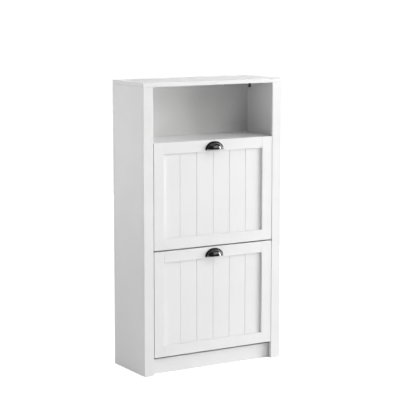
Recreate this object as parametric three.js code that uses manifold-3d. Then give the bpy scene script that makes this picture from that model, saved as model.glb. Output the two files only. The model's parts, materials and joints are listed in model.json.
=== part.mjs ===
// Slim two-flap shoe cabinet: a laminated board carcass with an open compartment on top and two
// frame-and-panel flaps below it. Each flap tilts forward on two pivot pins and carries its own
// shoe trays. Millimetres, +Z up, origin on the floor at the centre of the bounding box, front
// towards -Y.

import * as THREE from 'three';
import { mergeVertices } from 'three/addons/utils/BufferGeometryUtils.js';
import Module from 'manifold-3d';

const wasm = await Module();
wasm.setup();

// ---- Driving dimensions ------------------------------------------------------------------------

const WIDTH = 600;
const DEPTH = 240;
const HEIGHT = 1090;
const BOARD = 15;
const THIN_BOARD = 9;
const BACK_THICKNESS = 3;
const FIT = 0.3;

const STILE_WIDTH = 40;
const TOE_RECESS = 21;
const GLIDE_STAND = 1;
const BACK_INSET = 22;
const GROOVE_DEPTH = 5;

const SHELF_TOP = 870;
const FLAP_HEIGHT = 399;
const FLAP_GAP = 4.5;
const FLAP_SIDE_GAP = 2.5;
const FLAP_THICKNESS = 16;
const FRAME_WIDTH = 42;
const PANEL_RECESS = 9;
const REBATE = 10;
const PLANKS = 6;
const FLAP_EDGE_RADIUS = 2.5;

const OPEN_ANGLE = 42;
const PIVOT_BEHIND_FRONT = 24;
const PIVOT_ABOVE_BOTTOM = 105;
const PIN_RADIUS = 3.5;
const PIN_CLEARANCE = 0.2;
const PIN_ENGAGEMENT = 15;
const STOP_RADIUS = 62;
const STOP_ANGLE = 80;
const STOP_PIN_RADIUS = 3;

const HANDLE_WIDTH = 78;
const HANDLE_HEIGHT = 33;
const HANDLE_PROJECTION = 24;
const HANDLE_BELOW_TOP = 5;
const HANDLE_SCREW_SPACING = 44;

// ---- Places worked out from them ---------------------------------------------------------------

const HALF_WIDTH = WIDTH / 2;
const INNER_HALF = HALF_WIDTH - BOARD;
const TOP_UNDERSIDE = HEIGHT - BOARD;
const BACK_FACE = DEPTH - BACK_INSET;
const FRONT_Y = (HANDLE_PROJECTION - DEPTH) / 2;
const UPPER_FLAP_BOTTOM = SHELF_TOP - FLAP_HEIGHT;
const LOWER_FLAP_BOTTOM = UPPER_FLAP_BOTTOM - FLAP_GAP - FLAP_HEIGHT;
const FLAP_WIDTH = WIDTH - 2 * STILE_WIDTH - 2 * FLAP_SIDE_GAP;
const FLAP_REAR = FLAP_THICKNESS - PIVOT_BEHIND_FRONT;
const STOP_STRIP = 1.2;
const RAIL_FRONT = FLAP_THICKNESS + STOP_STRIP + FIT;
const PIN_SEGMENTS = 16;

// ---- Materials ---------------------------------------------------------------------------------

function finish(color, roughness, metalness = 0) {
  return new THREE.MeshStandardMaterial({ color, roughness, metalness });
}

const whiteBoard = finish(0xf0f0ee, 0.45);
const whitePlastic = finish(0xe8e8e6, 0.4);
const blackLacquer = finish(0x0c0c0d, 0.15, 0.6);
const blackPlastic = finish(0x161616, 0.5);
const steel = finish(0xb9bcc0, 0.3, 1);
const greyFoam = finish(0x8a8a88, 0.9);

// ---- Shape helpers -----------------------------------------------------------------------------

// A box between two corners.
function block(x, y, z) {
  const geometry = new THREE.BoxGeometry(x[1] - x[0], y[1] - y[0], z[1] - z[0]);
  return geometry.translate((x[0] + x[1]) / 2, (y[0] + y[1]) / 2, (z[0] + z[1]) / 2);
}

function outline(points) {
  return new THREE.Shape(points.map(([a, b]) => new THREE.Vector2(a, b)));
}

// A polygon whose corners are rounded by the given radius.
function roundedOutline(points, radius) {
  const corners = points.map(([a, b]) => new THREE.Vector2(a, b));
  const shape = new THREE.Shape();
  corners.forEach((corner, i) => {
    const before = corners[(i + corners.length - 1) % corners.length];
    const after = corners[(i + 1) % corners.length];
    const start = corner.clone().add(before.clone().sub(corner).setLength(radius));
    const end = corner.clone().add(after.clone().sub(corner).setLength(radius));
    if (i === 0) {
      shape.moveTo(start.x, start.y);
    } else {
      shape.lineTo(start.x, start.y);
    }
    shape.quadraticCurveTo(corner.x, corner.y, end.x, end.y);
  });
  shape.closePath();
  return shape;
}

function extrude(shape, depth, curveSegments) {
  return new THREE.ExtrudeGeometry(shape, { depth, bevelEnabled: false, curveSegments });
}

// An outline drawn in (y, z), extruded from x0 to x1.
function extrudeAlongX(shape, x0, x1, curveSegments = 4) {
  const turn = new THREE.Matrix4().makeBasis(
    new THREE.Vector3(0, 1, 0),
    new THREE.Vector3(0, 0, 1),
    new THREE.Vector3(1, 0, 0),
  );
  return extrude(shape, x1 - x0, curveSegments).applyMatrix4(turn).translate(x0, 0, 0);
}

// An outline drawn in (x, z), extruded from y0 to y1.
function extrudeAlongY(shape, y0, y1, curveSegments = 4) {
  const turn = new THREE.Matrix4().makeBasis(
    new THREE.Vector3(1, 0, 0),
    new THREE.Vector3(0, 0, 1),
    new THREE.Vector3(0, -1, 0),
  );
  return extrude(shape, y1 - y0, curveSegments).applyMatrix4(turn).translate(0, y1, 0);
}

// An outline drawn in (x, y), extruded from z0 to z1.
function extrudeAlongZ(shape, z0, z1, curveSegments = 4) {
  return extrude(shape, z1 - z0, curveSegments).translate(0, 0, z0);
}

function circleHole(a, b, radius) {
  return new THREE.Path().absarc(a, b, radius, 0, 2 * Math.PI, true);
}

// A turned piece about its own Z axis: steps are [radius, z] pairs from the first end to the last.
function turned(steps, segments = PIN_SEGMENTS) {
  const profile = [[0, steps[0][1]], ...steps, [0, steps[steps.length - 1][1]]];
  const points = profile.map(([radius, along]) => new THREE.Vector2(radius, along));
  return new THREE.LatheGeometry(points, segments).rotateX(Math.PI / 2);
}

function rod(radius, z0, z1) {
  return turned([[radius, z0], [radius, z1]]);
}

// The same shape on the other side of the cabinet's middle plane.
function mirrored(geometry) {
  const flipped = geometry.index ? geometry.toNonIndexed() : geometry.clone();
  const position = flipped.getAttribute('position');
  for (let i = 0; i < position.count; i += 3) {
    const corners = [0, 1, 2].map((k) => new THREE.Vector3().fromBufferAttribute(position, i + k));
    corners.reverse().forEach((p, k) => position.setXYZ(i + k, -p.x, p.y, p.z));
  }
  flipped.deleteAttribute('normal');
  return flipped;
}

function onSide(side, geometry) {
  return side > 0 ? geometry : mirrored(geometry);
}

// ---- Boolean joins and cuts --------------------------------------------------------------------

function toSolid(geometry) {
  const bare = geometry.clone();
  bare.deleteAttribute('normal');
  bare.deleteAttribute('uv');
  const merged = mergeVertices(bare, 1e-4);
  return new wasm.Manifold(new wasm.Mesh({
    numProp: 3,
    vertProperties: new Float32Array(merged.getAttribute('position').array),
    triVerts: new Uint32Array(merged.index.array),
  }));
}

function toGeometry(solid) {
  const mesh = solid.getMesh();
  const geometry = new THREE.BufferGeometry();
  geometry.setAttribute('position', new THREE.BufferAttribute(mesh.vertProperties, 3));
  geometry.setIndex(new THREE.BufferAttribute(mesh.triVerts, 1));
  return geometry;
}

function joined(...geometries) {
  return toGeometry(geometries.map(toSolid).reduce((sum, next) => sum.add(next)));
}

function cut(geometry, ...cutters) {
  return toGeometry(cutters.map(toSolid).reduce((left, next) => left.subtract(next), toSolid(geometry)));
}

function common(geometry, other) {
  return toGeometry(toSolid(geometry).intersect(toSolid(other)));
}

// ---- Assembly helpers --------------------------------------------------------------------------

const SIDES = [['left', -1], ['right', 1]];

function piece(name, geometry, material) {
  const mesh = new THREE.Mesh(geometry, material);
  mesh.name = name;
  return mesh;
}

// A group whose pieces are drawn about its own origin.
function assembly(position, pieces) {
  const group = new THREE.Group();
  group.position.set(...position);
  group.add(...pieces);
  return group;
}

// ---- Carcass: y runs back from the cabinet's front face, z up from the floor -------------------

const GLIDE_PAD_RADIUS = 6;
const GLIDE_NAIL_RADIUS = 1.2;
const GLIDE_NAIL_LENGTH = 10;
const GLIDE_PILOT_SPARE = 3;
const GLIDE_PLACES = [['front', 40], ['rear', DEPTH - 25]];
const RAIL_DEPTH = 60;
const RAIL_BELOW_UPPER_FLAP = 8;
const FLOOR_BELOW_LOWER_FLAP = 9;
const REAR_PLINTH_Y = 190;
const BACK_FOOT = 30;
const STRIP_HALF_LENGTH = 200;
const STRIP_MARGIN = 3;

// A side board with the groove that holds the back, and pilot holes for the glide nails.
function sidePanel() {
  const grooveFront = BACK_FACE - FIT;
  const grooveRear = BACK_FACE + BACK_THICKNESS + FIT;
  const grooveFloor = INNER_HALF + GROOVE_DEPTH;
  const section = outline([
    [INNER_HALF, BOARD + FIT],
    [HALF_WIDTH, BOARD + FIT],
    [HALF_WIDTH, DEPTH],
    [INNER_HALF, DEPTH],
    [INNER_HALF, grooveRear],
    [grooveFloor, grooveRear],
    [grooveFloor, grooveFront],
    [INNER_HALF, grooveFront],
  ]);
  const board = extrudeAlongZ(section, GLIDE_STAND + FIT, TOP_UNDERSIDE - FIT);
  const pilots = GLIDE_PLACES.map(([, y]) => rod(
    GLIDE_NAIL_RADIUS + FIT,
    0,
    GLIDE_NAIL_LENGTH + GLIDE_PILOT_SPARE,
  )
    .translate(INNER_HALF + BOARD / 2, y, 0));
  return cut(board, ...pilots);
}

function frontStile() {
  return block(
    [HALF_WIDTH - STILE_WIDTH, HALF_WIDTH],
    [0, BOARD],
    [GLIDE_STAND + FIT, TOP_UNDERSIDE - FIT],
  );
}

// A board that spans the cabinet between its side boards.
function spanningBoard(y, z) {
  return block([FIT - INNER_HALF, INNER_HALF - FIT], y, z);
}

function backPanel() {
  const half = INNER_HALF + GROOVE_DEPTH - FIT;
  return block([-half, half], [BACK_FACE, BACK_FACE + BACK_THICKNESS], [BACK_FOOT, TOP_UNDERSIDE - FIT]);
}

// A round plastic pad with its nail, driven into a side board's lower edge.
function glide(y) {
  const edge = GLIDE_STAND / 2;
  const tip = GLIDE_STAND + GLIDE_NAIL_LENGTH;
  return turned([
    [GLIDE_PAD_RADIUS - edge, 0],
    [GLIDE_PAD_RADIUS, edge],
    [GLIDE_PAD_RADIUS, GLIDE_STAND],
    [GLIDE_NAIL_RADIUS, GLIDE_STAND],
    [GLIDE_NAIL_RADIUS, tip],
  ]).translate(INNER_HALF + BOARD / 2, y, 0);
}

// A moulded angle that ties the top to the back and takes the wall screw.
function wallBracket() {
  const centre = 180;
  const width = 14;
  const leg = 28;
  const foot = 18;
  const sheet = 2;
  const holeRadius = 2.5;
  const holeDrop = 19;
  const rear = BACK_FACE - FIT;
  const roof = TOP_UNDERSIDE - FIT;
  const angle = outline([
    [rear, roof],
    [rear - foot, roof],
    [rear - foot, roof - sheet],
    [rear - sheet, roof - sheet],
    [rear - sheet, roof - leg],
    [rear, roof - leg],
  ]);
  const hole = rod(holeRadius, -leg, leg).rotateX(Math.PI / 2).translate(centre, rear, roof - holeDrop);
  return cut(extrudeAlongX(angle, centre - width / 2, centre + width / 2), hole);
}

// A moulded block on the side board that the anti-tip strap is fixed to.
function strapAnchor() {
  const length = 12;
  const thickness = 4;
  const rear = BACK_FACE - 14;
  const front = rear - length;
  const top = TOP_UNDERSIDE - 2;
  const foot = top - 28;
  const cornerRadius = 4;
  const holeRadius = 2.2;
  const face = roundedOutline([[front, foot], [rear, foot], [rear, top], [front, top]], cornerRadius);
  face.holes.push(circleHole((front + rear) / 2, foot + 2 * cornerRadius, holeRadius));
  return extrudeAlongX(face, INNER_HALF - FIT - thickness, INNER_HALF - FIT, 6);
}

// The soft strip that a closed flap rests against.
function stopStrip(z) {
  return block(
    [-STRIP_HALF_LENGTH, STRIP_HALF_LENGTH],
    [RAIL_FRONT - STOP_STRIP, RAIL_FRONT - FIT / 2],
    z,
  );
}

function carcass() {
  const shelfUnderside = SHELF_TOP - BOARD;
  const railTop = UPPER_FLAP_BOTTOM - RAIL_BELOW_UPPER_FLAP;
  const railUnderside = railTop - BOARD;
  const floorTop = LOWER_FLAP_BOTTOM - FLOOR_BELOW_LOWER_FLAP;
  const floorUnderside = floorTop - BOARD;
  const boardsRear = BACK_FACE - FIT;
  const standing = GLIDE_STAND + FIT;
  const plinthRear = TOE_RECESS + BOARD;
  const rail = spanningBoard([RAIL_FRONT, RAIL_FRONT + RAIL_DEPTH], [railUnderside, railTop]);
  const floor = spanningBoard([plinthRear + FIT, boardsRear], [floorUnderside, floorTop]);
  const rearPlinth = spanningBoard([REAR_PLINTH_Y, REAR_PLINTH_Y + BOARD], [standing, floorUnderside - FIT]);
  const upperStrip = stopStrip([shelfUnderside + STRIP_MARGIN, SHELF_TOP - STRIP_MARGIN]);
  const lowerStrip = stopStrip([railUnderside + STRIP_MARGIN, railTop - STRIP_MARGIN]);
  const pieces = [
    piece('top_panel', block([-HALF_WIDTH, HALF_WIDTH], [0, DEPTH], [TOP_UNDERSIDE, HEIGHT]), whiteBoard),
    piece('fixed_shelf', spanningBoard([RAIL_FRONT, boardsRear], [shelfUnderside, SHELF_TOP]), whiteBoard),
    piece('middle_rail', rail, whiteBoard),
    piece('bottom_panel', floor, whiteBoard),
    piece('plinth_front', spanningBoard([TOE_RECESS, plinthRear], [standing, floorTop]), whiteBoard),
    piece('plinth_rear', rearPlinth, whiteBoard),
    piece('back_panel', backPanel(), whiteBoard),
    piece('wall_bracket', wallBracket(), whitePlastic),
    piece('strap_anchor', strapAnchor(), blackPlastic),
    piece('upper_stop_strip', upperStrip, greyFoam),
    piece('lower_stop_strip', lowerStrip, greyFoam),
  ];
  for (const [name, side] of SIDES) {
    pieces.push(piece(`side_panel_${name}`, onSide(side, sidePanel()), whiteBoard));
    pieces.push(piece(`front_stile_${name}`, onSide(side, frontStile()), whiteBoard));
    for (const [place, y] of GLIDE_PLACES) {
      pieces.push(piece(`glide_${place}_${name}`, onSide(side, glide(y)), whitePlastic));
    }
  }
  return assembly([0, 0, 0], pieces);
}

// ---- Pivot hardware: drawn about a flap's pivot axis -------------------------------------------

const PLATE_THICKNESS = 4;
const PLATE_OUTER = FLAP_WIDTH / 2 - 1;
const PLATE_INNER = PLATE_OUTER - PLATE_THICKNESS;
const BLOCK_INNER = PLATE_OUTER + 2;
const BLOCK_REAR = 34;
const BLOCK_FOOT = -24;
const BLOCK_TOP = 82;
const BLOCK_CORNER = 5;
const PIN_HEAD_DEPTH = 2.2;
const PIVOT_HEAD_RADIUS = 6.5;
const STOP_HEAD_RADIUS = 5;
const STOP_Y = STOP_RADIUS * Math.cos(THREE.MathUtils.degToRad(STOP_ANGLE));
const STOP_Z = STOP_RADIUS * Math.sin(THREE.MathUtils.degToRad(STOP_ANGLE));

// The block behind the front stile that carries both pins of one side.
function pivotBlock() {
  const front = BOARD + FIT - PIVOT_BEHIND_FRONT;
  const face = roundedOutline([
    [front, BLOCK_FOOT],
    [BLOCK_REAR, BLOCK_FOOT],
    [BLOCK_REAR, BLOCK_TOP],
    [front, BLOCK_TOP],
  ], BLOCK_CORNER);
  face.holes.push(circleHole(0, 0, PIN_RADIUS + FIT));
  face.holes.push(circleHole(STOP_Y, STOP_Z, STOP_PIN_RADIUS + FIT));
  return extrudeAlongX(face, BLOCK_INNER, INNER_HALF - FIT, 6);
}

// A headed pin along X: its head is on the bracket's inner face, its end in the pivot block.
function headedPin(radius, headRadius, y, z) {
  const bearing = PLATE_INNER - FIT;
  return turned([
    [headRadius, bearing - PIN_HEAD_DEPTH],
    [headRadius, bearing],
    [radius, bearing],
    [radius, BLOCK_INNER + PIN_ENGAGEMENT],
  ]).rotateY(Math.PI / 2).translate(0, y, z);
}

function pivotHardware(flap, bottom) {
  const pieces = [];
  for (const [name, side] of SIDES) {
    const pivotPin = headedPin(PIN_RADIUS, PIVOT_HEAD_RADIUS, 0, 0);
    const stopPin = headedPin(STOP_PIN_RADIUS, STOP_HEAD_RADIUS, STOP_Y, STOP_Z);
    pieces.push(piece(`${flap}_pivot_block_${name}`, onSide(side, pivotBlock()), whitePlastic));
    pieces.push(piece(`${flap}_pivot_pin_${name}`, onSide(side, pivotPin), steel));
    pieces.push(piece(`${flap}_stop_pin_${name}`, onSide(side, stopPin), steel));
  }
  return assembly([0, PIVOT_BEHIND_FRONT, bottom + PIVOT_ABOVE_BOTTOM], pieces);
}

// ---- Flap front: y runs back from the flap's front face, z up from its lower edge ---------------

const FRAME_INNER = FLAP_WIDTH / 2 - FRAME_WIDTH;

// The flap's edge-on outline, with its lower front edge eased so that it clears what is below.
function flapEdge(height, eased) {
  const shape = new THREE.Shape();
  shape.moveTo(FLAP_THICKNESS, 0);
  shape.lineTo(FLAP_THICKNESS, height);
  shape.lineTo(0, height);
  if (eased) {
    shape.lineTo(0, FLAP_EDGE_RADIUS);
    shape.absarc(FLAP_EDGE_RADIUS, FLAP_EDGE_RADIUS, FLAP_EDGE_RADIUS, Math.PI, 1.5 * Math.PI);
  } else {
    shape.lineTo(0, 0);
  }
  shape.closePath();
  return shape;
}

function flapStile() {
  const stile = extrudeAlongX(flapEdge(FLAP_HEIGHT, true), FRAME_INNER, FLAP_WIDTH / 2);
  const rebate = block(
    [FRAME_INNER - 1, FRAME_INNER + REBATE],
    [PANEL_RECESS, FLAP_THICKNESS + 1],
    [FRAME_WIDTH - REBATE, FLAP_HEIGHT - FRAME_WIDTH + REBATE],
  );
  return cut(stile, rebate);
}

function railRebate(z) {
  return block([-FRAME_INNER, FRAME_INNER], [PANEL_RECESS, FLAP_THICKNESS + 1], z);
}

function bottomRail() {
  const half = FRAME_INNER - FIT;
  const rail = extrudeAlongX(flapEdge(FRAME_WIDTH, true), -half, half);
  return cut(rail, railRebate([FRAME_WIDTH - REBATE, FRAME_WIDTH + 1]));
}

// The upper rail is drilled for the two handle screws.
function topRail() {
  const half = FRAME_INNER - FIT;
  const bottom = FLAP_HEIGHT - FRAME_WIDTH;
  const rail = extrudeAlongX(flapEdge(FRAME_WIDTH, false), -half, half).translate(0, 0, bottom);
  const holes = [-1, 1].map((side) => rod(SCREW_RADIUS + FIT, -1, FLAP_THICKNESS + 1)
    .rotateX(-Math.PI / 2)
    .translate((side * HANDLE_SCREW_SPACING) / 2, 0, HANDLE_SCREW_Z));
  return cut(rail, railRebate([bottom - 1, bottom + REBATE]), ...holes);
}

// The grooved panel, held in the frame's rebates: planks divided by V grooves.
const PLANK_GROOVE_HALF = 1.6;
const PLANK_GROOVE_DEPTH = 1.6;
function groovedPanel() {
  const half = FRAME_INNER + REBATE - FIT;
  const front = PANEL_RECESS + FIT;
  const plank = (2 * FRAME_INNER) / PLANKS;
  const points = [[half, FLAP_THICKNESS], [-half, FLAP_THICKNESS], [-half, front]];
  for (let i = 1; i < PLANKS; i += 1) {
    const x = i * plank - FRAME_INNER;
    points.push(
      [x - PLANK_GROOVE_HALF, front],
      [x, front + PLANK_GROOVE_DEPTH],
      [x + PLANK_GROOVE_HALF, front],
    );
  }
  points.push([half, front]);
  const bottom = FRAME_WIDTH - REBATE + FIT;
  return extrudeAlongZ(outline(points), bottom, FLAP_HEIGHT - bottom);
}

// ---- Cup pull and its screws -------------------------------------------------------------------

const SCREW_RADIUS = 2;
const SCREW_HEAD_RADIUS = 4.2;
const SCREW_HEAD_EDGE = 1.6;
const SCREW_HEAD_DEPTH = 2.4;
const SCREW_ABOVE_FOOT = 13;
const SCREW_BITE = 5;
const BOSS_RADIUS = 4.2;
const BOSS_LENGTH = 8;
const LIP_ABOVE_FOOT = 3.5;
const HANDLE_FOOT_Z = FLAP_HEIGHT - HANDLE_BELOW_TOP - HANDLE_HEIGHT;
const HANDLE_SCREW_Z = HANDLE_FOOT_Z + SCREW_ABOVE_FOOT;
const FLANGE_THICKNESS = 2.5;
const FLANGE_BORDER = 5;
const CUP_WALL = 2.2;

function halfMoon(width, height, inset) {
  const shape = new THREE.Shape();
  const a = width / 2;
  shape.absellipse(0, 0, a, height, 0, Math.PI, false);
  shape.lineTo(inset - a, 0);
  shape.absellipse(0, 0, a - inset, height - inset, Math.PI, 0, true);
  shape.closePath();
  return shape;
}

function cupHalf(shrink) {
  return new THREE.SphereGeometry(1, 28, 16).scale(
    HANDLE_WIDTH / 2 - FLANGE_BORDER - shrink,
    HANDLE_PROJECTION - shrink,
    HANDLE_HEIGHT - FLANGE_BORDER - shrink,
  );
}

// A half-moon flange with a hollow quarter dome, open underneath, and two screw bosses. Its
// origin is at the middle of the flange's foot, on the flap's front face.
function cupPull() {
  const reach = HANDLE_WIDTH;
  const front = block([-reach, reach], [-reach, -FIT], [LIP_ABOVE_FOOT, reach]);
  const flange = extrudeAlongY(
    halfMoon(HANDLE_WIDTH, HANDLE_HEIGHT, FLANGE_BORDER + CUP_WALL),
    -FLANGE_THICKNESS - FIT,
    -FIT,
    12,
  );
  const dome = cut(common(cupHalf(0), front), cupHalf(CUP_WALL));
  const bosses = [-1, 1].map((side) => rod(BOSS_RADIUS, FIT, BOSS_LENGTH)
    .rotateX(Math.PI / 2)
    .translate((side * HANDLE_SCREW_SPACING) / 2, 0, SCREW_ABOVE_FOOT));
  const pilots = [-1, 1].map((side) => rod(SCREW_RADIUS + FIT, -1, SCREW_BITE + 1)
    .rotateX(Math.PI / 2)
    .translate((side * HANDLE_SCREW_SPACING) / 2, 0, SCREW_ABOVE_FOOT));
  return cut(joined(dome, flange, ...bosses), ...pilots);
}

// A pan-head screw driven forward through the rail into the pull.
function handleScrew(side) {
  const head = FLAP_THICKNESS + FIT;
  return turned([
    [SCREW_RADIUS, -SCREW_BITE],
    [SCREW_RADIUS, head],
    [SCREW_HEAD_RADIUS, head],
    [SCREW_HEAD_RADIUS, head + SCREW_HEAD_EDGE],
    [SCREW_HEAD_RADIUS / 2, head + SCREW_HEAD_DEPTH],
  ]).rotateX(-Math.PI / 2).translate((side * HANDLE_SCREW_SPACING) / 2, 0, HANDLE_SCREW_Z);
}

// ---- Shoe trays and their side brackets: drawn about the flap's pivot axis ----------------------

const TRAY_HALF = PLATE_INNER - FIT;
const TRAYS = [
  { name: 'lower', y: [2, 165], z: -55, rest: 66 },
  { name: 'upper', y: [2, 122], z: 85, rest: 50 },
];
const LEDGE_WIDTH = 12;
const LEDGE_THICKNESS = 3;
const LEDGE_FRONT_INSET = 6;
const LEDGE_REAR_INSET = 8;
const SLOT_CLEARANCE = 0.4;
const BRACKET_CORNER = 7;
const SCREW_FLANGE_WIDTH = 22;
const SCREW_FLANGE_THICKNESS = 3;
const SCREW_FLANGES = [[-72, -15], [15, 222]];

// The slot that the stop pin runs in: an arc about the pivot, as long as the flap's travel.
function stopSlot() {
  const half = STOP_PIN_RADIUS + SLOT_CLEARANCE;
  const from = THREE.MathUtils.degToRad(STOP_ANGLE - OPEN_ANGLE);
  const to = THREE.MathUtils.degToRad(STOP_ANGLE);
  const outer = STOP_RADIUS + half;
  const inner = STOP_RADIUS - half;
  const slot = new THREE.Path();
  slot.absarc(0, 0, outer, from, to, false);
  slot.absarc(STOP_RADIUS * Math.cos(to), STOP_RADIUS * Math.sin(to), half, to, to + Math.PI, false);
  slot.absarc(0, 0, inner, to, from, true);
  slot.absarc(STOP_RADIUS * Math.cos(from), STOP_RADIUS * Math.sin(from), half, from + Math.PI, from, false);
  return slot;
}

// One moulded side of the tray unit: a plate with the pivot hole and stop slot, two screw
// flanges against the flap, and a ledge under each tray.
function sideBracket() {
  const front = FLAP_REAR + FIT;
  const plate = roundedOutline([
    [front, -80],
    [60, -78],
    [172, -64],
    [172, 0],
    [130, 62],
    [126, 150],
    [60, 226],
    [front, 232],
  ], BRACKET_CORNER);
  plate.holes.push(circleHole(0, 0, PIN_RADIUS + PIN_CLEARANCE));
  plate.holes.push(stopSlot());
  const flanges = SCREW_FLANGES.map((z) => block(
    [PLATE_OUTER - SCREW_FLANGE_WIDTH, PLATE_OUTER - 1],
    [front, front + SCREW_FLANGE_THICKNESS],
    z,
  ));
  const ledges = TRAYS.map(({ y, z }) => block(
    [PLATE_INNER - LEDGE_WIDTH, PLATE_INNER + 1],
    [y[0] + LEDGE_FRONT_INSET, y[1] - LEDGE_REAR_INSET],
    [z - LEDGE_THICKNESS - FIT, z - FIT],
  ));
  return joined(
    extrudeAlongX(plate, PLATE_INNER, PLATE_OUTER, 6),
    ...flanges,
    ...ledges,
  );
}

function trayUnit(flap) {
  const pieces = [];
  for (const [name, side] of SIDES) {
    pieces.push(piece(`${flap}_bracket_${name}`, onSide(side, sideBracket()), whitePlastic));
  }
  for (const { name, y, z, rest } of TRAYS) {
    const top = z + THIN_BOARD;
    const tray = block([-TRAY_HALF, TRAY_HALF], y, [z, top]);
    const backRest = block([-TRAY_HALF, TRAY_HALF], [y[1] - THIN_BOARD, y[1]], [top + FIT, top + rest]);
    pieces.push(piece(`${flap}_${name}_tray`, tray, whiteBoard));
    pieces.push(piece(`${flap}_${name}_tray_back`, backRest, whiteBoard));
  }
  return assembly([0, PIVOT_BEHIND_FRONT, PIVOT_ABOVE_BOTTOM], pieces);
}

function flap(name, bottom) {
  const handle = cupPull().translate(0, 0, HANDLE_FOOT_Z);
  const pieces = [
    piece(`${name}_flap_rail_top`, topRail(), whiteBoard),
    piece(`${name}_flap_rail_bottom`, bottomRail(), whiteBoard),
    piece(`${name}_flap_panel`, groovedPanel(), whiteBoard),
    piece(`${name}_handle`, handle, blackLacquer),
  ];
  for (const [sideName, side] of SIDES) {
    pieces.push(piece(`${name}_flap_stile_${sideName}`, onSide(side, flapStile()), whiteBoard));
    pieces.push(piece(`${name}_handle_screw_${sideName}`, handleScrew(side), steel));
  }
  pieces.push(trayUnit(name));
  return assembly([0, 0, bottom], pieces);
}

// ---- The whole cabinet -------------------------------------------------------------------------

const cabinet = assembly([0, FRONT_Y, 0], [
  carcass(),
  pivotHardware('upper', UPPER_FLAP_BOTTOM),
  pivotHardware('lower', LOWER_FLAP_BOTTOM),
  flap('upper', UPPER_FLAP_BOTTOM),
  flap('lower', LOWER_FLAP_BOTTOM),
]);
cabinet.name = 'shoe_cabinet';

export default cabinet;
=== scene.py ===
"""Looks of the two-flap shoe cabinet: white laminate boards, black cup pulls, moulded tray
brackets and their fasteners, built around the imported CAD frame. Metres, +Z up, front towards -Y."""

import json
import math

import bmesh
import bpy
from mathutils import Matrix, Vector


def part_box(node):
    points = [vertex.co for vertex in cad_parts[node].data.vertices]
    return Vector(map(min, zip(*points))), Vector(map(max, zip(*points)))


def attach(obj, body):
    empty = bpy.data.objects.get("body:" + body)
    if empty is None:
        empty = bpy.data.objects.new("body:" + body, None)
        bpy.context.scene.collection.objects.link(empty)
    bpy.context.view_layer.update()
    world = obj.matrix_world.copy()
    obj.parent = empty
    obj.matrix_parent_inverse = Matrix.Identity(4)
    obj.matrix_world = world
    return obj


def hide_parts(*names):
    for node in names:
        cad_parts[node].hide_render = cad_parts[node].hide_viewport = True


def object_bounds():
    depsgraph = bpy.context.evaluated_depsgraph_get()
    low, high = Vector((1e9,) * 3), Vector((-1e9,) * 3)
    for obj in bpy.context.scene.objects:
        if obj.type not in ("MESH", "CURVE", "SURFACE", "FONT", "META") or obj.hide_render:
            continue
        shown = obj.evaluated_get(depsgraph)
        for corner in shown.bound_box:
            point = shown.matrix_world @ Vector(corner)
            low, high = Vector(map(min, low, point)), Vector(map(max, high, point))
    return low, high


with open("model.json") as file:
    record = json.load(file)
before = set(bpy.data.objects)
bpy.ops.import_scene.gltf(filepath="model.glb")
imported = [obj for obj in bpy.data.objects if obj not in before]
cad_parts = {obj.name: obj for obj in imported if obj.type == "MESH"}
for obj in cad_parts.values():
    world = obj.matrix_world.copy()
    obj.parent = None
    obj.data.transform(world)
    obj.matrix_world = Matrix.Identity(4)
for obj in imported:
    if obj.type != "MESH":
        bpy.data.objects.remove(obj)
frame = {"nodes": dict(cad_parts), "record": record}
cad_low, cad_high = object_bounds()

MM = 0.001
SIDES = (("left", -1), ("right", 1))
FLAPS = ("upper", "lower")

# ---- Camera and light ---------------------------------------------------------------------------

CAMERA_AZIMUTH = -30.9
CAMERA_ELEVATION = 8.3
CAMERA_DISTANCE = 5.652
CAMERA_LENS = 133.2
AIM = Vector((0.008, 0.009, 0.628))
SENSOR_WIDTH = 36.0
CLIP_END = 100.0

FLOOR_REACH = 40.0
FLOOR_SEGMENTS = 96
GLOW_NEAR = 0.82
GLOW_STARTS = 0.5
GLOW_FULL = 2.2

# The card that keeps the keys off the right side: upright in the front plane, with a lid.
FLAG_X = 0.3005
FLAG_REACH = 2.2
FLAG_Y = -0.1075
FLAG_TOP = 1.089
FLAG_BACK = 1.2
AIR_STRENGTH = 0.06

# ---- Surface sizes ------------------------------------------------------------------------------

BOARD_EDGE = 0.7 * MM
PLASTIC_EDGE = 0.5 * MM
EDGE_ANGLE = 35.0
WELD_DISTANCE = 0.01 * MM


# ---- Node helpers -------------------------------------------------------------------------------


def new_material(name, base, roughness, metallic=0.0):
    """A material whose shader has these uniform values; detail is linked in afterwards."""
    material = bpy.data.materials.new(name)
    material.use_nodes = True
    material.diffuse_color = (*base, 1.0)
    shader = material.node_tree.nodes["Principled BSDF"]
    shader.inputs["Base Color"].default_value = (*base, 1.0)
    shader.inputs["Roughness"].default_value = roughness
    shader.inputs["Metallic"].default_value = metallic
    return material, shader


def add_node(material, kind, **inputs):
    """A node of this kind, with the given input values; spaces in input names are underscores."""
    node = material.node_tree.nodes.new(kind)
    for name, value in inputs.items():
        node.inputs[name.replace("_", " ")].default_value = value
    return node


def link(material, source, target):
    """Joins an output socket to an input socket."""
    material.node_tree.links.new(source, target)


def object_points(material, stretch=(1.0, 1.0, 1.0)):
    """The surface point in the object's own frame, stretched along its axes."""
    place = add_node(material, "ShaderNodeTexCoord")
    mapping = add_node(material, "ShaderNodeMapping", Scale=stretch)
    link(material, place.outputs["Object"], mapping.inputs["Vector"])
    return mapping.outputs["Vector"]


def noise(material, points, scale, detail=2.0, roughness=0.5):
    """A noise value between 0 and 1 over the surface."""
    node = add_node(material, "ShaderNodeTexNoise", Scale=scale, Detail=detail, Roughness=roughness)
    link(material, points, node.inputs["Vector"])
    return node.outputs["Fac"]


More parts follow.
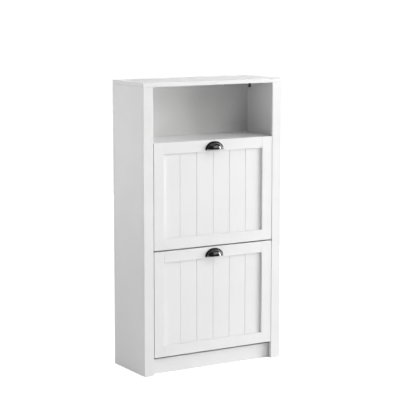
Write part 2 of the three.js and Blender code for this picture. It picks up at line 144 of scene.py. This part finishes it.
def spread(material, factor, low, high, between=(0.3, 0.7)):
    """A number that runs from low to high as factor crosses the given span."""
    node = add_node(
        material,
        "ShaderNodeMapRange",
        From_Min=between[0],
        From_Max=between[1],
        To_Min=low,
        To_Max=high,
    )
    link(material, factor, node.inputs["Value"])
    return node.outputs["Result"]


def tint(material, factor, low, high, between=(0.3, 0.7)):
    """A colour that runs from low to high as factor crosses the given span."""
    ramp = add_node(material, "ShaderNodeValToRGB")
    ramp.color_ramp.elements[0].position = between[0]
    ramp.color_ramp.elements[0].color = (*low, 1.0)
    ramp.color_ramp.elements[1].position = between[1]
    ramp.color_ramp.elements[1].color = (*high, 1.0)
    link(material, factor, ramp.inputs["Fac"])
    return ramp.outputs["Color"]


def bump(material, shader, layers):
    """Stacks bump maps: each layer is (height, strength, distance in metres)."""
    normal = None
    for height, strength, distance in layers:
        node = add_node(material, "ShaderNodeBump", Strength=strength, Distance=distance)
        link(material, height, node.inputs["Height"])
        if normal is not None:
            link(material, normal, node.inputs["Normal"])
        normal = node.outputs["Normal"]
    link(material, normal, shader.inputs["Normal"])


# ---- Materials ----------------------------------------------------------------------------------


def laminate():
    """White melamine foil: faint cloudiness, a fine pearl texture and uneven satin gloss."""
    material, shader = new_material("white_laminate", (0.83, 0.83, 0.83), 0.42)
    points = object_points(material)
    cloud = noise(material, points, 5.0, 3.0)
    pearl = noise(material, points, 1400.0, 2.0, 0.6)
    waves = noise(material, points, 60.0, 2.0)
    link(
        material,
        tint(material, cloud, (0.815, 0.815, 0.815), (0.845, 0.845, 0.845)),
        shader.inputs["Base Color"],
    )
    link(material, spread(material, waves, 0.36, 0.48), shader.inputs["Roughness"])
    bump(material, shader, [(waves, 0.05, 0.4 * MM), (pearl, 0.12, 0.08 * MM)])
    return material


def hardboard():
    """Thin white-faced hardboard: a little duller, with a pressed fibre texture."""
    material, shader = new_material("white_hardboard", (0.8, 0.8, 0.8), 0.55)
    points = object_points(material)
    fibre = noise(material, points, 500.0, 4.0, 0.7)
    cloud = noise(material, points, 9.0, 3.0)
    link(
        material,
        tint(material, cloud, (0.79, 0.79, 0.785), (0.815, 0.815, 0.81)),
        shader.inputs["Base Color"],
    )
    link(material, spread(material, fibre, 0.5, 0.64), shader.inputs["Roughness"])
    bump(material, shader, [(fibre, 0.2, 0.15 * MM)])
    return material


def moulded_plastic(name, low, high, roughness):
    """Injection-moulded plastic with a spark-eroded grain."""
    middle = tuple((a + b) / 2 for a, b in zip(low, high))
    material, shader = new_material(name, middle, roughness)
    points = object_points(material)
    grain = noise(material, points, 2200.0, 2.0, 0.6)
    flow = noise(material, points, 25.0, 2.0)
    link(material, tint(material, flow, low, high), shader.inputs["Base Color"])
    link(
        material,
        spread(material, grain, roughness - 0.06, roughness + 0.08),
        shader.inputs["Roughness"],
    )
    bump(material, shader, [(grain, 0.25, 0.06 * MM)])
    return material


def black_lacquer():
    """Gloss black enamel over cast metal: slight orange peel and a clear top coat."""
    material, shader = new_material("black_lacquer", (0.01, 0.01, 0.011), 0.16)
    shader.inputs["Specular IOR Level"].default_value = 0.1
    shader.inputs["Coat Weight"].default_value = 1.0
    shader.inputs["Coat Roughness"].default_value = 0.04
    points = object_points(material)
    peel = noise(material, points, 420.0, 2.0)
    cloud = noise(material, points, 60.0, 3.0)
    link(
        material,
        tint(material, cloud, (0.008, 0.008, 0.009), (0.014, 0.014, 0.015)),
        shader.inputs["Base Color"],
    )
    link(material, spread(material, cloud, 0.12, 0.24), shader.inputs["Roughness"])
    bump(material, shader, [(peel, 0.1, 0.12 * MM)])
    return material


def plated_steel():
    """Zinc-plated steel: metallic, with fine turning marks and mottled gloss."""
    material, shader = new_material("plated_steel", (0.62, 0.63, 0.65), 0.3, 1.0)
    points = object_points(material)
    mottle = noise(material, points, 350.0, 4.0, 0.65)
    marks = noise(material, object_points(material, (1.0, 1.0, 12.0)), 900.0, 2.0)
    link(
        material,
        tint(material, mottle, (0.52, 0.53, 0.55), (0.7, 0.71, 0.73)),
        shader.inputs["Base Color"],
    )
    link(material, spread(material, mottle, 0.22, 0.42), shader.inputs["Roughness"])
    bump(material, shader, [(marks, 0.15, 0.05 * MM)])
    return material


def closed_foam():
    """Grey closed-cell foam strip with small open pores, their hollows darkened with painted shade.
    """
    material, shader = new_material("grey_foam", (0.25, 0.25, 0.25), 0.9)
    points = object_points(material)
    cells = add_node(material, "ShaderNodeTexVoronoi", Scale=1500.0)
    link(material, points, cells.inputs["Vector"])
    # Painted shade: the colour darkens toward each pore's middle, where the bump below makes a
    # hollow.
    link(
        material,
        tint(material, cells.outputs["Distance"], (0.16, 0.16, 0.16), (0.32, 0.32, 0.32)),
        shader.inputs["Base Color"],
    )
    link(
        material,
        spread(material, cells.outputs["Distance"], 0.82, 0.96),
        shader.inputs["Roughness"],
    )
    bump(material, shader, [(cells.outputs["Distance"], 0.4, 0.2 * MM)])
    return material


def floor_white(name):
    """Pale studio floor."""
    material, shader = new_material(name, (0.93, 0.93, 0.93), 0.8)
    cloud = noise(material, object_points(material), 0.8, 2.0)
    link(
        material,
        tint(material, cloud, (0.925, 0.925, 0.925), (0.94, 0.94, 0.94)),
        shader.inputs["Base Color"],
    )
    return material, shader


def glowing_floor():
    """The floor as the camera sees it: it brightens into the backdrop away from the cabinet."""
    material, shader = floor_white("studio_floor_seen")
    distance = material.node_tree.nodes.new("ShaderNodeVectorMath")
    distance.operation = "LENGTH"
    link(material, object_points(material), distance.inputs[0])
    glow = spread(material, distance.outputs["Value"], GLOW_NEAR, 1.0, (GLOW_STARTS, GLOW_FULL))
    shader.inputs["Emission Color"].default_value = (1, 1, 1, 1)
    link(material, glow, shader.inputs["Emission Strength"])
    return material


def backdrop_black():
    """Black card, very slightly uneven."""
    material, shader = new_material("studio_card", (0.0, 0.0, 0.0), 1.0)
    cloud = noise(material, object_points(material), 2.0)
    link(
        material,
        tint(material, cloud, (0.0, 0.0, 0.0), (0.004, 0.004, 0.004)),
        shader.inputs["Base Color"],
    )
    return material


def backdrop_white():
    """The evenly lit backdrop."""
    material, shader = floor_white("studio_backdrop")
    shader.inputs["Emission Color"].default_value = (1, 1, 1, 1)
    shader.inputs["Emission Strength"].default_value = 1.0
    return material


LAMINATE = laminate()
HARDBOARD = hardboard()
WHITE_PLASTIC = moulded_plastic("white_plastic", (0.78, 0.78, 0.775), (0.82, 0.82, 0.815), 0.38)
BLACK_PLASTIC = moulded_plastic("black_plastic", (0.014, 0.014, 0.014), (0.022, 0.022, 0.022), 0.45)
LACQUER = black_lacquer()
STEEL = plated_steel()
FOAM = closed_foam()

LOOKS = {
    "white_board": LAMINATE,
    "white_plastic": WHITE_PLASTIC,
    "black_plastic": BLACK_PLASTIC,
    "black_lacquer": LACQUER,
    "steel": STEEL,
    "grey_foam": FOAM,
}

# ---- Mesh helpers -------------------------------------------------------------------------------


def add_piece(name, mesh_data, look, body):
    """Links a finished bmesh as a piece that rides on a body."""
    bmesh.ops.recalc_face_normals(mesh_data, faces=mesh_data.faces)
    mesh = bpy.data.meshes.new(name)
    mesh_data.to_mesh(mesh)
    mesh_data.free()
    piece = bpy.data.objects.new(name, mesh)
    bpy.context.scene.collection.objects.link(piece)
    piece.data.materials.append(look)
    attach(piece, body)
    return piece


def smooth(piece, sharp_above=40.0):
    """Smooth shading, with creases kept where faces meet at more than this angle."""
    for polygon in piece.data.polygons:
        polygon.use_smooth = True
    piece.data.set_sharp_from_angle(angle=math.radians(sharp_above))


def loft(target, rings, closed_rings=True, caps=True):
    """Skins a row of rings of points into a closed tube with flat ends."""
    rows = [[target.verts.new(point) for point in ring] for ring in rings]
    count = len(rows[0])
    steps = count if closed_rings else count - 1
    for lower, upper in zip(rows, rows[1:]):
        for i in range(steps):
            j = (i + 1) % count
            target.faces.new((lower[i], lower[j], upper[j], upper[i]))
    if caps:
        target.faces.new(list(reversed(rows[0])))
        target.faces.new(rows[-1])
    return rows


def turned(target, profile, place, segments=40):
    """A solid of revolution: profile is [radius, height] pairs up its axis; place is a matrix."""
    rings = []
    for radius, height in profile:
        rings.append([
            place @ Vector((radius * math.cos(turn), radius * math.sin(turn), height))
            for turn in (2 * math.pi * i / segments for i in range(segments))
        ])
    loft(target, rings)


def facing(direction):
    """The rotation that turns +Z to a direction."""
    return Vector(direction).to_track_quat("Z", "Y").to_matrix().to_4x4()


def at(point, direction=(0, 0, 1)):
    """The placement that stands on a point and faces a direction."""
    return Matrix.Translation(Vector(point)) @ facing(direction)


def joint_place(name):
    """Where a joint's axis is, at rest."""
    for joint in frame["record"]["behaviour"]["joints"]:
        if joint["name"] == name:
            return Vector(joint["pos_m"])
    raise KeyError(name)


def box_centre(node):
    """The middle of a CAD node's box."""
    low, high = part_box(node)
    return (low + high) / 2


# ---- Boards and other CAD pieces that keep their shape -------------------------------------------


def ease_edges(node, width):
    """Rounds a CAD piece's edges with modifiers, as an edge band or a mould's radius does."""
    for polygon in node.data.polygons:
        polygon.use_smooth = True
    weld = node.modifiers.new("weld", "WELD")
    weld.merge_threshold = WELD_DISTANCE
    bevel = node.modifiers.new("eased_edges", "BEVEL")
    bevel.width = width
    bevel.segments = 3
    bevel.limit_method = "ANGLE"
    bevel.angle_limit = math.radians(EDGE_ANGLE)
    bevel.harden_normals = True
    weighted = node.modifiers.new("weighted_normals", "WEIGHTED_NORMAL")
    weighted.keep_sharp = True


def dress_cad_nodes():
    """Gives every CAD node its finish, and eases the edges of boards and mouldings."""
    slots = {row["node"]: row["material_slot"] for row in frame["record"]["subparts"]}
    for name, node in frame["nodes"].items():
        look = HARDBOARD if name == "back_panel" else LOOKS[slots[name]]
        node.data.materials.clear()
        node.data.materials.append(look)
        width = BOARD_EDGE if slots[name] == "white_board" else PLASTIC_EDGE
        ease_edges(node, width)


# ---- Cup pulls ----------------------------------------------------------------------------------

RIM_WIDTH = 6.0 * MM
RIM_HEIGHT = 2.1 * MM
RIM_SECTION = (
    (1.0, 0.0), (1.0, 0.6), (0.97, 0.82), (0.91, 0.95), (0.82, 1.0),
    (-0.82, 1.0), (-0.91, 0.95), (-0.97, 0.82), (-1.0, 0.6), (-1.0, 0.0),
)
CUP_WALL = 2.0 * MM
CUP_TUCK = 1.2 * MM
LIP_LIFT = 0.5 * MM
LIP_ROLL = 0.8 * MM
LIP_SHARE = 1 / 14
CUP_COLUMNS = 48
CUP_ROWS = 26
ROW_CROWDING = 1.3
NEARLY_UPRIGHT = math.radians(88)
ARCH_STEPS = 56
END_STEPS = 5
BOSS_SEGMENTS = 28
BOSS_PROFILE = ((2.3, -5.6), (2.3, -0.4), (4.2, -0.4), (4.2, -7.2), (3.8, -7.8))


def rim_ring(centre, outward, scale):
    """The rim's section at one point of the arch, shrunk by scale at its feet."""
    ring = []
    for across, lift in RIM_SECTION:
        sideways = outward * (RIM_WIDTH / 2 * across * scale)
        ring.append(centre + sideways + Vector((0, -RIM_HEIGHT * lift * scale ** 0.5, 0)))
    return ring


def add_rim(target, sill, half_width, height):
    """The half-moon bead that frames the cup, with round feet just below the sill."""
    a = half_width - RIM_WIDTH / 2
    c = height - RIM_WIDTH / 2
    rings = []
    for i in range(END_STEPS):
        dip = NEARLY_UPRIGHT * (1 - i / END_STEPS)
        drop = Vector((a, 0, -RIM_WIDTH / 2 * math.sin(dip)))
        rings.append(rim_ring(sill + drop, Vector((1, 0, 0)), math.cos(dip)))
    for i in range(ARCH_STEPS + 1):
        turn = math.pi * i / ARCH_STEPS
        point = Vector((a * math.cos(turn), 0, c * math.sin(turn)))
        outward = Vector((math.cos(turn) / a, 0, math.sin(turn) / c)).normalized()
        rings.append(rim_ring(sill + point, outward, 1.0))
    for i in range(1, END_STEPS + 1):
        dip = NEARLY_UPRIGHT * i / END_STEPS
        drop = Vector((-a, 0, -RIM_WIDTH / 2 * math.sin(dip)))
        rings.append(rim_ring(sill + drop, Vector((-1, 0, 0)), math.cos(dip)))
    loft(target, rings)


def cup_point(sill, size, across, share, shrink):
    """A point of the quarter dome: across runs from side to side, share from lip to crown."""
    a, b, c = (extent - shrink for extent in size)
    lip = LIP_LIFT / c
    up = lip + (NEARLY_UPRIGHT - lip) * share
    roll = LIP_ROLL * max(0.0, 1 - share / LIP_SHARE) ** 2
    return sill + Vector((
        (a + roll) * math.cos(up) * math.cos(across),
        -(b + roll) * math.cos(up) * math.sin(across),
        c * math.sin(up),
    ))


def add_cup(target, sill, size):
    """The hollow quarter dome: an outer and an inner skin joined all round their edge."""
    skins = []
    for shrink in (0.0, CUP_WALL):
        skins.append([
            [
                target.verts.new(cup_point(
                    sill, size, math.pi * i / CUP_COLUMNS, (j / CUP_ROWS) ** ROW_CROWDING, shrink
                ))
                for i in range(CUP_COLUMNS + 1)
            ]
            for j in range(CUP_ROWS + 1)
        ])
    for grid in skins:
        for j in range(CUP_ROWS):
            for i in range(CUP_COLUMNS):
                target.faces.new((grid[j][i], grid[j][i + 1], grid[j + 1][i + 1], grid[j + 1][i]))
    outer, inner = skins
    for row in (0, CUP_ROWS):
        for i in range(CUP_COLUMNS):
            target.faces.new((outer[row][i], outer[row][i + 1], inner[row][i + 1], inner[row][i]))
    for side in (0, CUP_COLUMNS):
        for j in range(CUP_ROWS):
            target.faces.new((outer[j][side], outer[j + 1][side], inner[j + 1][side], inner[j][side]))


def add_bosses(target, foot, screws):
    """The two posts inside the cup that the screws bite into."""
    for x, z in screws:
        profile = [(r * MM, h * MM) for r, h in reversed(BOSS_PROFILE)]
        turned(target, profile, at((x, foot.y, z), (0, 1, 0)), BOSS_SEGMENTS)


def cup_pull(flap):
    """A gloss black half-moon cup pull with a beaded rim, in place of the plain CAD one."""
    node = f"{flap}_handle"
    low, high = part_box(node)
    sill = Vector(((low.x + high.x) / 2, high.y, low.z + RIM_WIDTH / 2))
    half_width = (high.x - low.x) / 2
    height = high.z - sill.z
    inset = RIM_WIDTH - CUP_TUCK
    size = (half_width - inset, high.y - low.y - LIP_ROLL, height - inset)
    pull = bmesh.new()
    add_rim(pull, sill, half_width, height)
    add_cup(pull, sill, size)
    screws = [box_centre(f"{flap}_handle_screw_{name}") for name, _ in SIDES]
    add_bosses(pull, sill, [(s.x, s.z) for s in screws])
    piece = add_piece(f"{flap}_cup_pull", pull, LACQUER, f"{flap}_flap")
    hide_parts(node)
    smooth(piece, 50)


# ---- Fasteners ----------------------------------------------------------------------------------

HEAD_SEGMENTS = 32
HEAD_OUTLINE = ((1.0, 0.0), (1.0, 0.45), (0.93, 0.72), (0.8, 0.9), (0.66, 1.0))
CROSS_REACH = 0.55
CROSS_HALF_WIDTH = 0.11
CROSS_TAPER = 0.7
CROSS_FLOOR = 0.35
HEAD_RADIUS = 3.4 * MM
HEAD_HEIGHT = 1.9 * MM

# Heights above the pivot, and places behind and above it, in millimetres.
FLANGE_SCREWS = (-62, -26, 28, 118, 208)
BLOCK_SCREWS = ((24, -12), (25, 30), (25, 70))
FLANGE_MIDDLE = 11.5 * MM
FLANGE_THICKNESS = 3.0 * MM

THREAD_TURNS = 14
PULL_HEAD_RADIUS = 4.0 * MM
PULL_HEAD_HEIGHT = 2.4 * MM
THREAD_CREST = 2.0
THREAD_ROOT = 1.7

PIN_HEAD_DEPTH = 2.2 * MM
PIN_CHAMFER = 0.4 * MM
PIN_HEAD_OVERHANG = {"pivot_pin": 3.0 * MM, "stop_pin": 2.0 * MM}
GLIDE_STAND = 1.0 * MM
GLIDE_NAIL_RADIUS = 1.2 * MM

BRACKET_HOLE_DROP = 19 * MM
BRACKET_THICKNESS = 2 * MM
ANCHOR_HOLE_RISE = 8 * MM

NAILS_PER_BOARD = 7
NAIL_SEGMENTS = 20
NAIL_PROFILE = ((2.6, 0.0), (2.6, 0.35), (2.2, 0.7), (1.2, 0.85))

# The rib's route is behind and above the pivot, in millimetres; its section is shares of its size.
RIB_WIDTH = 3.2 * MM
RIB_HEIGHT = 2.0 * MM
RIB_SECTION = ((-1.0, 0.0), (-0.85, 0.8), (-0.5, 1.0), (0.5, 1.0), (0.85, 0.8), (1.0, 0.0))
RIB_ROUTE = ((70, -69), (162, -57), (164, -3), (123, 60), (119, 147), (57, 219), (4, 224))


def add_screw_head(target, point, direction, radius, height):
    """A pan head with a real cross recess, standing on point and facing direction."""
    place = at(point, direction)
    arm = radius * CROSS_REACH
    half = radius * CROSS_HALF_WIDTH
    cross = [
        (arm, -half), (arm, half), (half, half), (half, arm), (-half, arm), (-half, half),
        (-arm, half), (-arm, -half), (-half, -half), (-half, -arm), (half, -arm), (half, -half),
    ]
    rings = []
    for share, level in HEAD_OUTLINE:
        rings.append([
            place @ Vector((
                radius * share * math.cos(2 * math.pi * i / HEAD_SEGMENTS),
                radius * share * math.sin(2 * math.pi * i / HEAD_SEGMENTS),
                height * level,
            ))
            for i in range(HEAD_SEGMENTS)
        ])
    rows = loft(target, rings, caps=False)
    target.faces.new(list(reversed(rows[0])))
    mouth = [target.verts.new(place @ Vector((x, y, height))) for x, y in cross]
    floor = [
        target.verts.new(place @ Vector((x * CROSS_TAPER, y * CROSS_TAPER, height * CROSS_FLOOR)))
        for x, y in cross
    ]
    for i in range(len(cross)):
        j = (i + 1) % len(cross)
        target.faces.new((mouth[i], mouth[j], floor[j], floor[i]))
    target.faces.new(floor)
    edges = [
        target.edges.get((loop[i], loop[(i + 1) % len(loop)]))
        for loop in (rows[-1], mouth)
        for i in range(len(loop))
    ]
    bmesh.ops.triangle_fill(target, edges=edges, use_beauty=True)


def screw_set(name, places, direction, body, radius=HEAD_RADIUS, height=HEAD_HEIGHT):
    """A row of cross-head screws that ride together."""
    heads = bmesh.new()
    for point in places:
        add_screw_head(heads, point, direction, radius, height)
    piece = add_piece(name, heads, STEEL, body)
    smooth(piece, 35)
    return piece


def handle_screws(flap):
    """The pull's two machine screws: a thread that bites the boss, and a head behind the flap."""
    for name, _ in SIDES:
        node = f"{flap}_handle_screw_{name}"
        low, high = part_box(node)
        centre = (low + high) / 2
        screw = bmesh.new()
        seat = Vector((centre.x, high.y - PULL_HEAD_HEIGHT, centre.z))
        add_screw_head(screw, seat, (0, 1, 0), PULL_HEAD_RADIUS, PULL_HEAD_HEIGHT)
        length = (seat.y - low.y) / MM
        shank = [(1.4, 0.0), (THREAD_CREST, 1.0)]
        for i in range(THREAD_TURNS):
            crest_at = 1.0 + (length - 1.0) * i / THREAD_TURNS
            root_at = 1.0 + (length - 1.0) * (i + 0.5) / THREAD_TURNS
            shank += [(THREAD_CREST, crest_at), (THREAD_ROOT, root_at)]
        shank.append((THREAD_CREST, length))
        profile = [(r * MM, h * MM) for r, h in shank]
        turned(screw, profile, at((centre.x, low.y, centre.z), (0, 1, 0)), 24)
        piece = add_piece(f"{flap}_pull_screw_{name}", screw, STEEL, f"{flap}_flap")
        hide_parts(node)
        smooth(piece, 35)


def pins(flap, kind, side_name, side):
    """A turned steel pin with a chamfered head and end, in place of the faceted one."""
    node = f"{flap}_{kind}_{side_name}"
    low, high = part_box(node)
    centre = (low + high) / 2
    head = (high.z - low.z) / 2
    shank = head - PIN_HEAD_OVERHANG[kind]
    length = high.x - low.x
    start = Vector((low.x if side > 0 else high.x, centre.y, centre.z))
    edge = PIN_CHAMFER
    profile = [
        (head * 0.35, 0.5 * MM), (head * 0.4, 0.0), (head - edge, 0.0), (head, edge),
        (head, PIN_HEAD_DEPTH - edge), (head - edge, PIN_HEAD_DEPTH), (shank, PIN_HEAD_DEPTH),
        (shank, length - 2 * edge), (shank - 2 * edge, length),
    ]
    pin = bmesh.new()
    turned(pin, profile, at(start, (side, 0, 0)))
    piece = add_piece(f"{flap}_{kind}_turned_{side_name}", pin, STEEL, "carcass")
    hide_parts(node)
    smooth(piece, 30)


def glides():
    """Round nail-in glides with a domed foot, in place of the faceted ones."""
    for name, _ in SIDES:
        for place in ("front", "rear"):
            node = f"glide_{place}_{name}"
            low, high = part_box(node)
            centre = (low + high) / 2
            radius = (high.x - low.x) / 2
            length = high.z - low.z
            profile = [
                (radius * 0.86, 0.0), (radius * 0.95, 0.2 * MM), (radius, 0.55 * MM),
                (radius, GLIDE_STAND), (GLIDE_NAIL_RADIUS, GLIDE_STAND),
                (GLIDE_NAIL_RADIUS, length - 1.5 * MM), (0.2 * MM, length),
            ]
            foot = bmesh.new()
            turned(foot, profile, at((centre.x, centre.y, low.z)))
            piece = add_piece(
                f"glide_pad_{place}_{name}", foot, WHITE_PLASTIC, "carcass"
            )
            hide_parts(node)
            smooth(piece, 40)


def tray_fasteners(flap):
    """The screws that hold each tray bracket to the flap, through the bracket's flanges."""
    pivot = joint_place(f"{flap}_flap_tilt")
    for name, side in SIDES:
        low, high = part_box(f"{flap}_bracket_{name}")
        outer = high.x if side > 0 else low.x
        places = [
            (outer - side * FLANGE_MIDDLE, low.y + FLANGE_THICKNESS, pivot.z + height * MM)
            for height in FLANGE_SCREWS
        ]
        screw_set(f"{flap}_bracket_screws_{name}", places, (0, 1, 0), f"{flap}_flap", 3.6 * MM)


def pivot_block_fasteners(flap):
    """Flat-headed screws that hold the pivot blocks to the side boards."""
    pivot = joint_place(f"{flap}_flap_tilt")
    for name, side in SIDES:
        low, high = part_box(f"{flap}_pivot_block_{name}")
        face = low.x if side > 0 else high.x
        places = [
            (face, pivot.y + back * MM, pivot.z + height * MM) for back, height in BLOCK_SCREWS
        ]
        screw_set(
            f"{flap}_block_screws_{name}", places, (-side, 0, 0), "carcass", 3.4 * MM, 0.8 * MM
        )


def wall_fasteners():
    """The screws in the wall bracket and in the strap anchor."""
    low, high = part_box("wall_bracket")
    bracket = ((low.x + high.x) / 2, high.y - BRACKET_THICKNESS, high.z - BRACKET_HOLE_DROP)
    screw_set("wall_bracket_screw", [bracket], (0, -1, 0), "carcass", 3.8 * MM, 1.6 * MM)
    low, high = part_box("strap_anchor")
    anchor = (low.x, (low.y + high.y) / 2, low.z + ANCHOR_HOLE_RISE)
    screw_set("strap_anchor_screw", [anchor], (-1, 0, 0), "carcass", 3.0 * MM, 1.2 * MM)


def back_nails():
    """Nails that hold the back to the fixed shelf and to the bottom panel."""
    low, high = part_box("back_panel")
    heads = bmesh.new()
    profile = [(r * MM, h * MM) for r, h in NAIL_PROFILE]
    for board in ("fixed_shelf", "bottom_panel"):
        level = box_centre(board).z
        for i in range(NAILS_PER_BOARD):
            share = (i + 0.5) / NAILS_PER_BOARD
            x = low.x + (high.x - low.x) * share
            turned(heads, profile, at((x, high.y, level), (0, 1, 0)), NAIL_SEGMENTS)
    smooth(add_piece("back_nails", heads, STEEL, "carcass"), 40)


def bracket_rib(flap):
    """A moulded stiffening rib round the outer edge of each tray bracket."""
    pivot = joint_place(f"{flap}_flap_tilt")
    for name, side in SIDES:
        low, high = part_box(f"{flap}_bracket_{name}")
        face = high.x if side > 0 else low.x
        route = [Vector((face, pivot.y + back * MM, pivot.z + up * MM)) for back, up in RIB_ROUTE]
        rings = []
        for i, point in enumerate(route):
            ahead = (route[min(i + 1, len(route) - 1)] - point).normalized()
            behind = (point - route[max(i - 1, 0)]).normalized()
            run = (ahead + behind).normalized()
            across = run.cross(Vector((side, 0, 0)))
            widen = 1 / max(0.5, run.dot(ahead if i < len(route) - 1 else behind))
            rings.append([
                point
                + across * (share * RIB_WIDTH / 2 * widen)
                + Vector((side * lift * RIB_HEIGHT, 0, 0))
                for share, lift in RIB_SECTION
            ])
        rib = bmesh.new()
        loft(rib, rings)
        piece = add_piece(
            f"{flap}_bracket_rib_{name}", rib, WHITE_PLASTIC, f"{flap}_flap"
        )
        smooth(piece, 50)


# ---- Build --------------------------------------------------------------------------------------

dress_cad_nodes()
for flap_name in FLAPS:
    cup_pull(flap_name)
    handle_screws(flap_name)
    tray_fasteners(flap_name)
    pivot_block_fasteners(flap_name)
    bracket_rib(flap_name)
    for side_name, side_sign in SIDES:
        pins(flap_name, "pivot_pin", side_name, side_sign)
        pins(flap_name, "stop_pin", side_name, side_sign)
glides()
wall_fasteners()
back_nails()

# ---- Studio -------------------------------------------------------------------------------------


def stage_object(name, mesh_data, look, lights_cabinet):
    """A studio surface. It is either seen by the camera only, or only bounces light."""
    mesh = bpy.data.meshes.new(name)
    mesh_data.to_mesh(mesh)
    mesh_data.free()
    surface = bpy.data.objects.new(name, mesh)
    bpy.context.scene.collection.objects.link(surface)
    surface.data.materials.append(look)
    surface.visible_glossy = False
    surface.visible_camera = not lights_cabinet
    surface.visible_diffuse = lights_cabinet
    surface.visible_shadow = False
    surface.visible_transmission = False
    return surface


def studio_surfaces():
    """A floor that the camera sees, its twin just below that bounces light, a shadow-only card
    that keeps the keys off the cabinet's right side, and a far dome."""
    for name, look, lights_cabinet, level in (
        ("studio_floor", glowing_floor(), False, 0.0),
        ("studio_floor_bounce", floor_white("studio_floor_bounce")[0], True, -MM),
    ):
        disc = bmesh.new()
        bmesh.ops.create_circle(
            disc, cap_ends=True, segments=FLOOR_SEGMENTS, radius=FLOOR_REACH
        )
        stage_object(name, disc, look, lights_cabinet).location.z = level
    flag = bmesh.new()
    rows = [
        [flag.verts.new((x, y, z)) for x in (FLAG_X, FLAG_REACH)]
        for y, z in ((FLAG_Y, 0.0), (FLAG_Y, FLAG_TOP), (FLAG_BACK, FLAG_TOP))
    ]
    for lower, upper in zip(rows, rows[1:]):
        flag.faces.new((*lower, *reversed(upper)))
    card = stage_object("studio_flag", flag, backdrop_black(), False)
    card.visible_camera = False
    card.visible_shadow = True
    shell = bmesh.new()
    bmesh.ops.create_icosphere(shell, subdivisions=4, radius=FLOOR_REACH)
    stage_object("studio_backdrop", shell, backdrop_white(), False)


def softbox(name, azimuth, elevation, distance, size, watts):
    """A rectangular soft light that points at the cabinet's middle. Azimuth 0 is in front and
    90 is right. It returns the light's holder."""
    light = bpy.data.lights.new(name, "AREA")
    light.shape = "RECTANGLE"
    light.size, light.size_y = size
    light.energy = watts
    holder = bpy.data.objects.new(name, light)
    bpy.context.scene.collection.objects.link(holder)
    a = math.radians(azimuth)
    e = math.radians(elevation)
    away = Vector((math.sin(a) * math.cos(e), -math.cos(a) * math.cos(e), math.sin(e)))
    target = Vector((0, 0, cad_high.z * 0.5))
    holder.location = target + away * distance
    holder.rotation_euler = away.to_track_quat("Z", "Y").to_euler()
    return holder


def studio_lights():
    """Broad keys from the right of the front, a low fill on the left side and weak rear lights.
    The widest keys are kept out of reflections; a tall strip gives the pulls their glint."""
    softbox("key_low", 60, 3, 6.2, (3.5, 3.2), 250).visible_glossy = False
    softbox("key_side", 72, 16, 6.0, (2.4, 5.0), 74).visible_glossy = False
    softbox("glint", 67, 12, 5.0, (1.4, 3.4), 340).visible_diffuse = False
    softbox("key_high", 28, 38, 5.2, (4.2, 3.2), 124)
    softbox("overhead", 0, 88, 4.0, (3.0, 3.0), 26)
    softbox("fill_left", -86, 1, 4.4, (2.0, 2.0), 50)
    softbox("fill_right", 100, 4, 4.4, (2.0, 2.0), 34).visible_glossy = False
    softbox("rear_left", -150, 6, 4.5, (2.4, 2.4), 50)
    softbox("rear_right", 150, 6, 4.5, (2.4, 2.4), 60)
    world = bpy.data.worlds.new("studio_air")
    world.use_nodes = True
    background = world.node_tree.nodes["Background"]
    background.inputs["Color"].default_value = (1, 1, 1, 1)
    background.inputs["Strength"].default_value = AIR_STRENGTH
    bpy.context.scene.world = world


def camera():
    """The camera, which looks at AIM with no lens shift."""
    data = bpy.data.cameras.new("camera")
    data.lens = CAMERA_LENS
    data.sensor_width = SENSOR_WIDTH
    data.clip_end = CLIP_END
    holder = bpy.data.objects.new("camera", data)
    bpy.context.scene.collection.objects.link(holder)
    a = math.radians(CAMERA_AZIMUTH)
    e = math.radians(CAMERA_ELEVATION)
    back = Vector((math.sin(a) * math.cos(e), -math.cos(a) * math.cos(e), math.sin(e)))
    holder.location = AIM + back * CAMERA_DISTANCE
    holder.rotation_euler = (-back).to_track_quat("-Z", "Y").to_euler()
    bpy.context.scene.camera = holder


studio_surfaces()
studio_lights()
camera()
bpy.context.scene.view_settings.view_transform = "Standard"
